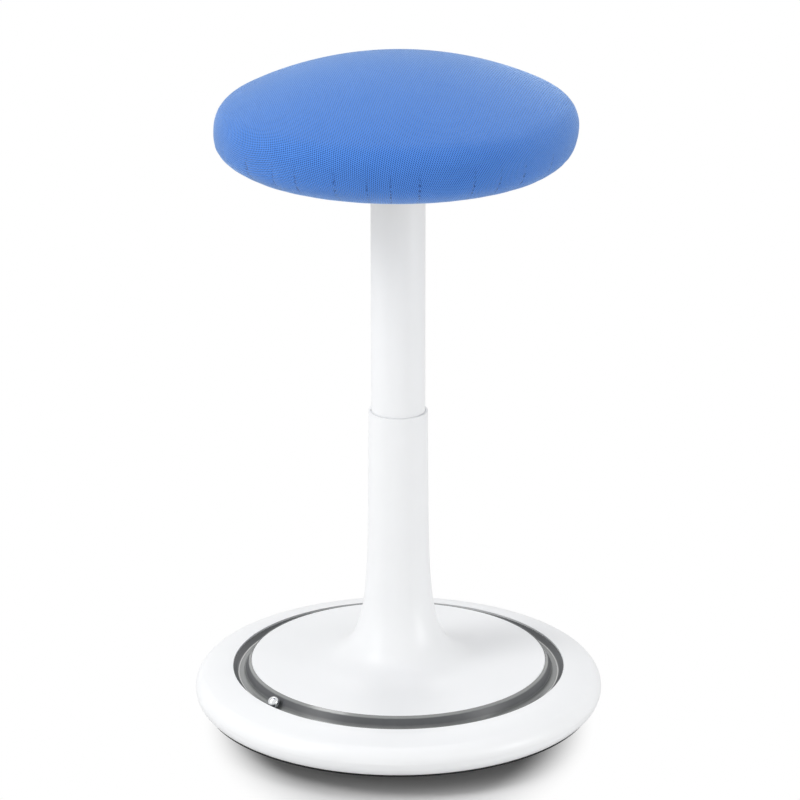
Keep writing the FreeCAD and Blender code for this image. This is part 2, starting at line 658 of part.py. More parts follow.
def cylinder_guide_bush():
    """Plastic bush in the standing tube's mouth that guides the gas spring."""
    bore = CYL_R + FIT
    low = STAND_TOP - BUSH_H
    high = STAND_TOP + BUSH_FLANGE_H
    return (Outline(bore, low).line(STAND_BORE, low).line(STAND_BORE, STAND_TOP)
            .line(STAND_R, STAND_TOP).line(STAND_R, high).line(bore + EDGE_ROUND, high)
            .line(bore, high - EDGE_ROUND).turned())


def tube_glide_sleeve():
    """Slit plastic sleeve round the standing tube, inside the upper tube."""
    body = ring(SLEEVE_BORE, SLEEVE_BORE + SLEEVE_T, STAND_TOP - BUSH_H, STAND_TOP)
    slit = Part.makeBox(TUBE_R, SLEEVE_SLIT, BUSH_H, V(0, -SLEEVE_SLIT / 2, STAND_TOP - BUSH_H))
    return body.cut(slit)


# Swivel bearing and rod

def bearing_washer_lower():
    """Race on the flange under the bearing balls."""
    return ring(WASHER_IN_R, WASHER_OUT_R, FLANGE_TOP, FLANGE_TOP + WASHER_T)


def bearing_cage():
    """Ring with pockets that keeps the bearing balls apart."""
    low = BEARING_Z - CAGE_T / 2
    body = ring(BEARING_R - CAGE_W / 2, BEARING_R + CAGE_W / 2, low, low + CAGE_T)
    pocket = rod(BEARING_BALL_R + CAGE_PLAY, low, low + CAGE_T, BEARING_R)
    return drill(body, pocket, BEARING_COUNT)


def bearing_balls():
    """Balls between the two washers."""
    ball = Part.makeSphere(BEARING_BALL_R)
    ball.translate(V(BEARING_R, 0, BEARING_Z))
    return around(ball, BEARING_COUNT)


def bearing_washer_upper():
    """Race over the bearing balls, under the rod's shoulder."""
    return ring(TAIL_R, WASHER_OUT_R, WASHER_UP_Z, BUFFER_Z)


def piston_rod():
    """Rod with a thinner tail, a shoulder on the upper washer and a groove for the clip."""
    foot = CLIP_Z - ROD_END
    return (Outline(0, foot).line(TAIL_R, foot).line(TAIL_R, CLIP_Z)
            .line(CLIP_GROOVE_R, CLIP_Z).line(CLIP_GROOVE_R, CLIP_WASHER_Z)
            .line(TAIL_R, CLIP_WASHER_Z).line(TAIL_R, BUFFER_Z).line(ROD_R, BUFFER_Z)
            .line(ROD_R, PISTON_TOP).line(0, PISTON_TOP).turned())


def piston():
    """Piston with a groove for its seal."""
    outer = CYL_BORE - FIT - SEAL_PROUD
    groove = outer - SEAL_T
    low = PISTON_Z + (PISTON_H - SEAL_H) / 2
    return (Outline(ROD_R, PISTON_Z).line(outer, PISTON_Z).line(outer, low).line(groove, low)
            .line(groove, low + SEAL_H).line(outer, low + SEAL_H).line(outer, PISTON_TOP)
            .line(ROD_R, PISTON_TOP).turned())


def piston_seal():
    """Seal ring in the piston's groove."""
    low = PISTON_Z + (PISTON_H - SEAL_H) / 2
    return ring(CYL_BORE - FIT - SEAL_PROUD - SEAL_T, CYL_BORE - FIT, low, low + SEAL_H)


def rubber_buffer():
    """Rubber ring that softens the stop at the lowest seat height."""
    return ring(ROD_R, BUFFER_R, BUFFER_Z, BUFFER_TOP)


def clip_washer():
    """Washer between flange and clip."""
    return ring(TAIL_R, CLIP_WASHER_R, CLIP_WASHER_Z, CLIP_WASHER_Z + CLIP_T)


def rod_clip():
    """Open spring clip in the rod's groove."""
    body = ring(CLIP_GROOVE_R, CLIP_R, CLIP_Z, CLIP_WASHER_Z)
    gap = CLIP_GROOVE_R * math.sqrt(2)
    return body.cut(Part.makeBox(CLIP_R, gap, CLIP_T, V(0, -gap / 2, CLIP_Z)))


# Seat

def gas_cylinder():
    """Pressure tube with a tapered head and a bore for the release pin."""
    bore = PIN_R + FIT
    taper_foot = HUB_FOOT - TAPER_LEAD
    pin_foot = PLATE_TOP - PIN_DEPTH
    return (Outline(CYL_BORE, CYL_FOOT).line(CYL_R, CYL_FOOT).line(CYL_R, taper_foot)
            .line(CYL_TOP_R, PLATE_TOP).line(bore, PLATE_TOP).line(bore, pin_foot)
            .line(0, pin_foot).line(0, BORE_TOP).line(CYL_BORE, BORE_TOP).turned())


def cylinder_end_guide():
    """Guide in the cylinder's lower end, round the rod."""
    return ring(ROD_R + FIT, CYL_BORE, CYL_FOOT, CYL_FOOT + END_GUIDE_H)


def release_pin():
    """Valve pin that stands out of the gas spring's head."""
    foot = PLATE_TOP - PIN_DEPTH + PIN_ROOM
    return (Outline(0, foot).line(PIN_R, foot).line(PIN_R, PIN_TOP - EDGE_ROUND)
            .line(PIN_R - EDGE_ROUND, PIN_TOP).line(0, PIN_TOP).turned())


def upper_tube():
    """Visible telescopic tube round the gas spring."""
    edge = TUBE_WALL / 3
    return (Outline(TUBE_BORE, TUBE_FOOT).line(TUBE_R - edge, TUBE_FOOT)
            .line(TUBE_R, TUBE_FOOT + edge).line(TUBE_R, TUBE_TOP)
            .line(TUBE_BORE, TUBE_TOP).turned())


def tube_top_bush():
    """Bush between the plate's hub and the upper tube."""
    return ring(HUB_R, TUBE_BORE, TUBE_TOP - TOP_BUSH_H, TUBE_TOP)


def seat_plate():
    """Pressed dish with a tapered hub, two pivot ears and a slot for the lever."""
    hub = (Outline(taper_r(HUB_FOOT), HUB_FOOT).line(HUB_R, HUB_FOOT).line(HUB_R, TUBE_TOP)
           .line(DISH_FLOOR_R, TUBE_TOP).line(DISH_RIM_R, FLANGE_FACE)
           .line(PLATE_R, FLANGE_FACE).line(PLATE_R, BOARD_Z)
           .line(DISH_RIM_R - PLATE_T, BOARD_Z).line(DISH_FLOOR_R - PLATE_T, PLATE_TOP)
           .line(taper_r(PLATE_TOP), PLATE_TOP).turned())
    inside = LEVER_W / 2 + EAR_SIDE
    ear = (Part.makeBox(2 * EAR_R, EAR_T, PIVOT_Z - PLATE_TOP, V(LEVER_ARM - EAR_R, inside, PLATE_TOP))
           .fuse(Part.makeCylinder(EAR_R, EAR_T, V(LEVER_ARM, inside, PIVOT_Z), V(0, 1, 0))))
    ear = ear.cut(Part.makeCylinder(PIVOT_R, EAR_T, V(LEVER_ARM, inside, PIVOT_Z), V(0, 1, 0)))
    other = ear.mirror(ORIGIN, V(0, 1, 0))
    slot_w = LEVER_W + 2 * SLOT_SIDE
    slot = Part.makeBox(DISH_RIM_R - SLOT_IN_R, slot_w, FLANGE_FACE - PLATE_TOP,
                        V(SLOT_IN_R, -slot_w / 2, PLATE_TOP))
    body = hub.cut(to_back(slot)).fuse([to_back(ear), to_back(other)])
    hole = rod(SEAT_BOLT_R, FLANGE_FACE, BOARD_Z, SEAT_BOLT_PITCH_R)
    return drill(body, hole, SEAT_BOLT_COUNT, bolt_first(SEAT_BOLT_COUNT))


def lever_pivot_pin():
    """Riveted pin through both ears and the lever."""
    reach = LEVER_W / 2 + EAR_SIDE + EAR_T
    along = V(0, 1, 0)
    body = Part.makeCylinder(PIVOT_R, 2 * reach, V(LEVER_ARM, -reach, PIVOT_Z), along)
    for low in (-reach - RIVET_HEAD_T, reach):
        body = body.fuse(Part.makeCylinder(RIVET_HEAD_R, RIVET_HEAD_T, V(LEVER_ARM, low, PIVOT_Z), along))
    return to_back(body)


def seat_bolts():
    """Bolts through the plate into the board's tee nuts."""
    low = FLANGE_FACE - SEAT_BOLT_HEAD_H
    bolt = rod(SEAT_BOLT_HEAD_R, low, FLANGE_FACE, SEAT_BOLT_PITCH_R)
    bolt = bolt.fuse(rod(SEAT_BOLT_R, low, BOARD_Z + SEAT_BOLT_GRIP, SEAT_BOLT_PITCH_R))
    return around(bolt, SEAT_BOLT_COUNT, bolt_first(SEAT_BOLT_COUNT))


def tee_form(barrel_foot):
    """Flange and barrel of a tee nut without its bore, down to barrel_foot."""
    flange = rod(TEE_FLANGE_R, BOARD_TOP - TEE_FLANGE_T, BOARD_TOP, SEAT_BOLT_PITCH_R)
    return flange.fuse(rod(TEE_BARREL_R, barrel_foot, BOARD_TOP, SEAT_BOLT_PITCH_R))


def tee_nuts():
    """Tee nuts sunk into the board's upper face."""
    low = BOARD_TOP - TEE_FLANGE_T - TEE_BARREL_H
    nut = tee_form(low).cut(rod(SEAT_BOLT_R, low, BOARD_TOP, SEAT_BOLT_PITCH_R))
    return around(nut, SEAT_BOLT_COUNT, bolt_first(SEAT_BOLT_COUNT))


def seat_board():
    """Plywood disc inside the cushion."""
    body = drill(rod(BOARD_R, BOARD_Z, BOARD_TOP), tee_form(BOARD_Z), SEAT_BOLT_COUNT,
                 bolt_first(SEAT_BOLT_COUNT))
    hole = rod(SCREW_R, BOARD_Z, BOARD_Z + UNDER_SCREW_GRIP, UNDER_SCREW_R)
    return drill(body, hole, UNDER_SCREW_COUNT, bolt_first(UNDER_SCREW_COUNT))


def crown_joint(depth):
    """Where the crown's arc meets the shoulder's, depth inside the cushion's outer face."""
    run = V(SEAT_R - SHOULDER_R, 0, SEAT_Z - CROWN_MID_Z).normalize()
    reach = CROWN_R - depth
    return run.x * reach, CROWN_MID_Z + run.z * reach


def seat_foam():
    """Crowned foam pad that wraps round the board's edge."""
    low_mid = SEAT_R - LOWER_R
    return (Outline(0, SEAT_TOP - COVER_T).swing(0, CROWN_MID_Z, *crown_joint(COVER_T))
            .swing(SEAT_R - SHOULDER_R, SEAT_Z, SEAT_R - COVER_T, SEAT_Z)
            .swing(low_mid, SEAT_Z, low_mid, BOARD_Z)
            .line(BOARD_R, BOARD_Z).line(BOARD_R, BOARD_TOP).line(0, BOARD_TOP).turned())


def seat_cover():
    """Fabric drawn over the crown and shoulders and in under the board."""
    low_mid = SEAT_R - LOWER_R
    return (Outline(0, SEAT_TOP).swing(0, CROWN_MID_Z, *crown_joint(0))
            .swing(SEAT_R - SHOULDER_R, SEAT_Z, SEAT_R, SEAT_Z)
            .swing(low_mid, SEAT_Z, low_mid, UNDERSIDE)
            .line(HEM_R, UNDERSIDE).line(HEM_R, BOARD_Z).line(low_mid, BOARD_Z)
            .swing(low_mid, SEAT_Z, SEAT_R - COVER_T, SEAT_Z)
            .swing(SEAT_R - SHOULDER_R, SEAT_Z, *crown_joint(COVER_T))
            .swing(0, CROWN_MID_Z, 0, SEAT_TOP - COVER_T).turned())


def cover_staples():
    """Staples that hold the drawn-in cover to the board."""
    low = UNDERSIDE - STAPLE_T
    half = STAPLE_W / 2
    bar = Part.makeBox(STAPLE_T, STAPLE_W, STAPLE_T, V(STAPLE_R, -half, low))
    legs = [Part.makeBox(STAPLE_T, STAPLE_T, STAPLE_LEG, V(STAPLE_R, y, low))
            for y in (-half, half - STAPLE_T)]
    return around(bar.fuse(legs), STAPLE_COUNT, bolt_first(STAPLE_COUNT))


def under_head_z():
    """Lower face of the undercover screws' heads."""
    return under_z(UNDER_SCREW_R) + UNDER_SINK


def seat_undercover():
    """Shallow plastic cover under the cushion, open at the back for the lever."""
    body = (Outline(TUBE_R, UNDER_FOOT).line(UNDER_FOOT_R, UNDER_FOOT).line(UNDER_R, UNDER_RIM_FOOT)
            .line(UNDER_R, UNDERSIDE).line(UNDER_R - UNDER_T, UNDERSIDE)
            .line(UNDER_R - UNDER_T, under_z(UNDER_R - UNDER_T) + UNDER_T)
            .line(UNDER_FOOT_R, UNDER_FOOT + UNDER_T).line(TUBE_R, UNDER_FOOT + UNDER_T).turned())
    boss = rod(UNDER_BOSS_R, under_z(UNDER_SCREW_R + UNDER_BOSS_R), BOARD_Z, UNDER_SCREW_R)
    body = body.fuse(around(boss, UNDER_SCREW_COUNT, bolt_first(UNDER_SCREW_COUNT)))
    head_top = under_head_z() + SCREW_HEAD_H
    sink = rod(SCREW_HEAD_R, UNDER_FOOT, head_top, UNDER_SCREW_R)
    sink = sink.fuse(rod(SCREW_R, head_top, BOARD_Z, UNDER_SCREW_R))
    body = drill(body, sink, UNDER_SCREW_COUNT, bolt_first(UNDER_SCREW_COUNT))
    slot_w = LEVER_W + 2 * SLOT_SIDE
    slot = Part.makeBox(SLOT_OUT_R - SLOT_IN_R, slot_w, UNDERSIDE - UNDER_FOOT,
                        V(SLOT_IN_R, -slot_w / 2, UNDER_FOOT))
    return body.cut(to_back(slot))


def undercover_screws():
    """Screws through the undercover into the board."""
    low = under_head_z()
    screw = rod(SCREW_HEAD_R, low, low + SCREW_HEAD_H, UNDER_SCREW_R)
    screw = screw.fuse(rod(SCREW_R, low, BOARD_Z + UNDER_SCREW_GRIP, UNDER_SCREW_R))
    return around(screw, UNDER_SCREW_COUNT, bolt_first(UNDER_SCREW_COUNT))


def lever_arm():
    """Arm of the lever from its pivot down to its level end, without the bore."""
    half = LEVER_T / 2
    return (Outline(LEVER_ARM, PIVOT_Z + half).line(LEVER_OUT, LEVER_LOW_Z + half)
            .line(LEVER_END, LEVER_LOW_Z + half).line(LEVER_END, LEVER_LOW_Z - half)
            .line(LEVER_OUT, LEVER_LOW_Z - half).line(LEVER_ARM, PIVOT_Z - half).plate(LEVER_W))


def release_lever():
    """Lever whose nose presses the pin when its outer end is lifted."""
    along = V(0, 1, 0)
    side = -LEVER_W / 2
    nose = Part.makeCylinder(LEVER_NOSE_R, LEVER_W, V(0, side, PIVOT_Z), along)
    neck = Part.makeBox(LEVER_ARM, LEVER_W, LEVER_T, V(0, side, PIVOT_Z - LEVER_T / 2))
    boss = Part.makeCylinder(LEVER_BOSS_R, LEVER_W, V(LEVER_ARM, side, PIVOT_Z), along)
    bore = Part.makeCylinder(PIVOT_R + FIT, LEVER_W, V(LEVER_ARM, side, PIVOT_Z), along)
    return to_back(lever_arm().fuse([nose, neck, boss]).cut(bore))


def lever_grip():
    """Flat rounded paddle pushed on the lever's end."""
    length = GRIP_END - GRIP_START
    grip = Part.makeBox(length, GRIP_W, GRIP_T, V(GRIP_START, -GRIP_W / 2, LEVER_LOW_Z - GRIP_T / 2))
    grip = grip.makeFillet(GRIP_ROUND, grip.Edges)
    return to_back(grip.cut(lever_arm()))


PARTS = [
    rubber_sole, rocker_pan, ballast_plate, stand_tube, flange_bolts, ball_track, track_screws,
    track_ball, base_ring, ring_screws, column_cover, cover_screws, cylinder_guide_bush,
    tube_glide_sleeve, bearing_washer_lower, bearing_cage, bearing_balls, bearing_washer_upper,
    piston_rod, piston, piston_seal, rubber_buffer, clip_washer, rod_clip, gas_cylinder,
    cylinder_end_guide, release_pin, upper_tube, tube_top_bush, seat_plate, lever_pivot_pin,
    seat_bolts, tee_nuts, seat_board, seat_foam, seat_cover, cover_staples, seat_undercover,
    undercover_screws, release_lever, lever_grip,
]

os.makedirs("parts", exist_ok=True)
for make in PARTS:
    name = make.__name__
    shape = make()
    if isinstance(shape, list):
        shape = Part.makeCompound(shape)
    shape.exportStep(os.path.join("parts", name + ".step"))
    cm3 = shape.Volume / 1000
    print(f"{name:22s} solids {len(shape.Solids):2d} volume {cm3:9.2f} cm3 valid {shape.isValid()}")
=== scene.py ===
"""Looks of the wobble stool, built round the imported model.

The CAD pieces keep their shapes and get their finishes here. The cushion is stuffed anew: a pad
of the CAD cushion's form is blown up by a cloth simulation, and its cover is drawn back to the
real outline, pulled in at the hem and knitted from two sine waves.
"""
import json
import math

import bpy
import numpy as np
from mathutils import Matrix, Vector


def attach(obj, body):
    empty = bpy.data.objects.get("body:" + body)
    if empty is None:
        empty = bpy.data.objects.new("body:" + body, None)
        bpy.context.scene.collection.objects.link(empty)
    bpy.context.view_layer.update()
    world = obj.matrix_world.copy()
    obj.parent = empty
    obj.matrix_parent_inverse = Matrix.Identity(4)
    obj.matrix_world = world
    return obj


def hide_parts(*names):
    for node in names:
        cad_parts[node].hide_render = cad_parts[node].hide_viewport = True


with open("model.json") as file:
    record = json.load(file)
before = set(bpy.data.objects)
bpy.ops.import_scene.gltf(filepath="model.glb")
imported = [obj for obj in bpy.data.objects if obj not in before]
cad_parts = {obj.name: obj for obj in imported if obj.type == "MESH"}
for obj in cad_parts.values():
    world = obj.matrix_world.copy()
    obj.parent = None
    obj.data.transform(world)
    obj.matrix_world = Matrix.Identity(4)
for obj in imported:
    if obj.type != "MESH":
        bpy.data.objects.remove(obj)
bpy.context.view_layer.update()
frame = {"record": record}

scene = bpy.context.scene
MM = 0.001

# --- Camera, as the photograph was taken -----------------------------------------------------
AIM_Z = 0.310                # height of the point that the lens's axis goes through
CAMERA_FAR = 4.0             # its distance from the lens
CAMERA_DOWN = 19.33          # degrees that the camera looks down
CAMERA_ROLL = -0.05          # degrees that the photograph leans to the left
LENS = 195.08                # mm on a 36 mm frame
SHIFT_X, SHIFT_Y = 0.00225, 0.0095

# --- The cushion's outline, repeated from the CAD source, in metres ----------------------------
SEAT_R = 0.1658              # widest radius
SEAT_Z = 0.5797              # its height
SEAT_TOP = 0.6394            # crown
SHOULDER_R = 0.0261          # arc over the widest line
LOWER_R = 0.0338             # quarter circle under it
BOARD_Z = 0.5475             # the board's underside, where the cover is stapled
HEM_R = 0.106                # inner edge of the turned-in cover
OUTLINE_STEPS = 24           # points along each of its arcs


def srgb(code):
    """Linear colour of an sRGB hex value, by the standard's two-part curve."""
    parts = [int(code[i:i + 2], 16) / 255 for i in (1, 3, 5)]
    linear = (c / 12.92 if c <= 0.04045 else ((c + 0.055) / 1.055) ** 2.4 for c in parts)
    return (*linear, 1.0)


def node(tree, kind, settings=None, inputs=None):
    """Adds one node: settings are its fields, inputs are values or other nodes' sockets."""
    made = tree.nodes.new("ShaderNode" + kind)
    for field, value in (settings or {}).items():
        setattr(made, field, value)
    for socket, value in (inputs or {}).items():
        if isinstance(value, bpy.types.NodeSocket):
            tree.links.new(value, made.inputs[socket])
        else:
            made.inputs[socket].default_value = value
    return made


def empty_material(name):
    """A material with no nodes yet, and its tree."""
    made = bpy.data.materials.new(name)
    made.use_nodes = True
    made.node_tree.nodes.clear()
    return made, made.node_tree


def finish_surface(tree, colour, rough, height, depth, constants):
    """Ends a tree in a Principled shader with a bump; depth is the height's full size in metres."""
    bump = node(tree, "Bump", None, {"Strength": 1.0, "Distance": depth, "Height": height})
    linked = {"Base Color": colour, "Roughness": rough, "Normal": bump.outputs[0]}
    shader = node(tree, "BsdfPrincipled", None, {**linked, **constants})
    node(tree, "OutputMaterial", None, {"Surface": shader.outputs[0]})


def mottled(name, shades, patch, rough, grain, depth, constants):
    """A finish that wanders between two shades in soft patches, with a fine grain.

    Patch and grain are sizes in millimetres, rough is the lowest and highest roughness, and
    depth is the grain's relief in millimetres.
    """
    made, tree = empty_material(name)
    place = node(tree, "TexCoord").outputs["Object"]
    cloud = node(tree, "TexNoise", None,
                 {"Vector": place, "Scale": 1 / (patch * MM), "Detail": 1.0})
    fine = node(tree, "TexNoise", None,
                {"Vector": place, "Scale": 1 / (grain * MM), "Detail": 2.0})
    colour = node(tree, "Mix", {"data_type": "RGBA"},
                  {0: cloud.outputs[0], 6: srgb(shades[0]), 7: srgb(shades[1])}).outputs[2]
    spread = node(tree, "MapRange", {"interpolation_type": "SMOOTHSTEP"},
                  {0: cloud.outputs[0], 1: 0.2, 2: 0.8, 3: rough[0], 4: rough[1]})
    finish_surface(tree, colour, spread.outputs[0], fine.outputs[0], depth * MM, constants)
    return made


VENEER_T = 1.5 * MM          # one layer of the board
GRAIN_LONG, GRAIN_WIDE, GRAIN_DEEP = 0.04, 0.0012, 0.0015   # size of the grain's streaks


def plywood(name):
    """Birch plywood: layers that show at the edge, and long grain streaks on the faces.

    The layers are a triangle wave of the height, from dark to light and back, and the streaks are
    a noise stretched along X.
    """
    made, tree = empty_material(name)
    place = node(tree, "TexCoord").outputs["Object"]
    height = node(tree, "SeparateXYZ", None, {0: place}).outputs[2]
    layer = node(tree, "Math", {"operation": "PINGPONG"}, {0: height, 1: VENEER_T}).outputs[0]
    share = node(tree, "Math", {"operation": "DIVIDE"}, {0: layer, 1: VENEER_T}).outputs[0]
    dark = node(tree, "Math", {"operation": "SMOOTH_MIN"}, {0: share, 1: 1.0, 2: 0.3}).outputs[0]
    along = node(tree, "Mapping", None,
                 {0: place, 3: (1 / GRAIN_LONG, 1 / GRAIN_WIDE, 1 / GRAIN_DEEP)}).outputs[0]
    streak = node(tree, "TexNoise", None, {"Vector": along, "Scale": 1.0, "Detail": 4.0}).outputs[0]
    tint = node(tree, "Mix", {"data_type": "RGBA"},
                {0: streak, 6: srgb("#B98F5F"), 7: srgb("#E3C99B")}).outputs[2]
    colour = node(tree, "Mix", {"data_type": "RGBA"},
                  {0: dark, 6: srgb("#A87F50"), 7: tint}).outputs[2]
    finish_surface(tree, colour, 0.62, streak, 0.05 * MM, {})
    return made


LIP_R = 0.1413               # outer edge of the channel's rounded lip
RUN_IN, RUN_OUT = 0.1448, 0.1495   # the channel's floor: painted lighter as its reflection, and less rough where the ball rolls
HIGHLIGHT_LINE_R = 0.1504             # a painted highlight line at the foot of the outer wall
BAND_STRAY = 0.5 * MM        # how far the edges of these bands wander


def ball_track(name):
    """Moulded grey polyamide: the channel's walls stay dark. Its lip and floor, which face upwards,
    are painted lighter, as the reflection they show, and are less rough where hands rub the lip
    and the steel ball rolls on the floor. A painted highlight line runs beside the floor.

    The bands are soft steps in the distance from the column's axis, made to wander by a noise.
    """
    made, tree = empty_material(name)
    place = node(tree, "TexCoord").outputs["Object"]
    flat = node(tree, "VectorMath", {"operation": "MULTIPLY"},
                {0: place, 1: (1, 1, 0)}).outputs[0]
    reach = node(tree, "VectorMath", {"operation": "LENGTH"}, {0: flat}).outputs["Value"]
    cloud = node(tree, "TexNoise", None,
                 {"Vector": place, "Scale": 1 / (9 * MM), "Detail": 3.0}).outputs[0]
    radius = node(tree, "Math", {"operation": "MULTIPLY_ADD"},
                  {0: cloud, 1: BAND_STRAY, 2: reach}).outputs[0]
    # The lip and floor: painted lighter, as the reflection that their upward faces show. The same
    # mask makes them less rough.
    lip = node(tree, "MapRange", {"interpolation_type": "SMOOTHSTEP"},
               {0: radius, 1: LIP_R - 0.7 * MM, 2: LIP_R + 0.1 * MM, 3: 1.0, 4: 0.0}).outputs[0]
    inner = node(tree, "MapRange", {"interpolation_type": "SMOOTHSTEP"},
                 {0: radius, 1: RUN_IN - 1.5 * MM, 2: RUN_IN + 0.6 * MM, 3: 0.0, 4: 1.0}).outputs[0]
    outer = node(tree, "MapRange", {"interpolation_type": "SMOOTHSTEP"},
                 {0: radius, 1: RUN_OUT, 2: RUN_OUT + 0.6 * MM, 3: 1.0, 4: 0.0}).outputs[0]
    run = node(tree, "Math", {"operation": "MULTIPLY"}, {0: inner, 1: outer}).outputs[0]
    polish_and_painted_light = node(tree, "Math", {"operation": "MAXIMUM"}, {0: lip, 1: run}).outputs[0]
    moulded = node(tree, "Mix", {"data_type": "RGBA"},
                   {0: cloud, 6: srgb("#4B4D4F"), 7: srgb("#55575A")}).outputs[2]
    # A painted highlight: a thin bright line at the foot of the outer wall.
    aside = node(tree, "Math", {"operation": "SUBTRACT"},
                 {0: radius, 1: HIGHLIGHT_LINE_R}).outputs[0]
    apart = node(tree, "Math", {"operation": "ABSOLUTE"}, {0: aside}).outputs[0]
    painted_highlight_line = node(tree, "MapRange", {"interpolation_type": "SMOOTHSTEP"},
                 {0: apart, 1: 0.2 * MM, 2: 0.9 * MM, 3: 1.0, 4: 0.0}).outputs[0]
    painted_lit_bands = node(tree, "Mix", {"data_type": "RGBA"},
                  {0: polish_and_painted_light, 6: moulded, 7: srgb("#8E908F")}).outputs[2]
    colour = node(tree, "Mix", {"data_type": "RGBA"},
                  {0: painted_highlight_line, 6: painted_lit_bands, 7: srgb("#C9C9C7")}).outputs[2]
    rough = node(tree, "MapRange", None, {0: polish_and_painted_light, 3: 0.36, 4: 0.16}).outputs[0]
    fine = node(tree, "TexNoise", None,
                {"Vector": place, "Scale": 1 / (1.2 * MM), "Detail": 2.0}).outputs[0]
    finish_surface(tree, colour, rough, fine, 0.004 * MM, {"IOR": 1.53})
    return made


ZINC_PATCH = 6 * MM          # patches of blue and yellow in the passivated plate
DRAWN_LONG, DRAWN_FINE = 4 * MM, 0.2 * MM   # marks left by drawing, round the piece and across


def zinc_plate(name):
    """Zinc-plated steel: blue-grey, a little iridescent in patches, with faint drawn lines."""
    made, tree = empty_material(name)
    place = node(tree, "TexCoord").outputs["Object"]
    cloud = node(tree, "TexNoise", None,
                 {"Vector": place, "Scale": 1 / ZINC_PATCH, "Detail": 3.0}).outputs[0]
    lines = node(tree, "Mapping", None,
                 {0: place, 3: (1 / DRAWN_LONG, 1 / DRAWN_LONG, 1 / DRAWN_FINE)}).outputs[0]
    drawn = node(tree, "TexNoise", None,
                 {"Vector": lines, "Scale": 1.0, "Detail": 2.0}).outputs[0]
    colour = node(tree, "Mix", {"data_type": "RGBA"},
                  {0: cloud, 6: srgb("#B9BEC4"), 7: srgb("#D2D0C6")}).outputs[2]
    rough = node(tree, "MapRange", None,
                 {0: drawn, 1: 0.2, 2: 0.8, 3: 0.26, 4: 0.42}).outputs[0]
    finish_surface(tree, colour, rough, drawn, 0.01 * MM, {"Metallic": 1.0})
    return made


KNIT_PITCH = 2.1 * MM        # the real knit is about 1 mm, too fine to show at this size
KNIT_TURN = 12.0             # degrees that its ribs are turned from the front
KNIT_DRIFT = 0.003           # how far the ribs wander
KNIT_DRIFT_OVER = 80 * MM    # and over what length
KNIT_DEPTH = 0.35 * MM       # relief of the loops
STITCH_RATE = 1.2            # stitches along a rib for each rib across
STITCH_LAG = 0.5             # how far each rib's stitches lag behind the last rib's
STITCH_SHARE = 1.2           # their wave's weight against the ribs' own
HOLE_LOW, HOLE_HIGH = -1.7, 0.2   # wave heights at a hole's bottom and at a full loop
PULL_LINES = 33              # needle pulls round the hem
PULL_THIN, PULL_WIDE = 0.015, 0.045   # half width of a pull, core and edge, in steps round
PULL_BEAD = 3.0 * MM         # spacing of its dots
PULL_FROM, PULL_FULL = 0.178, 0.200   # where it fades in, along the cover from the crown


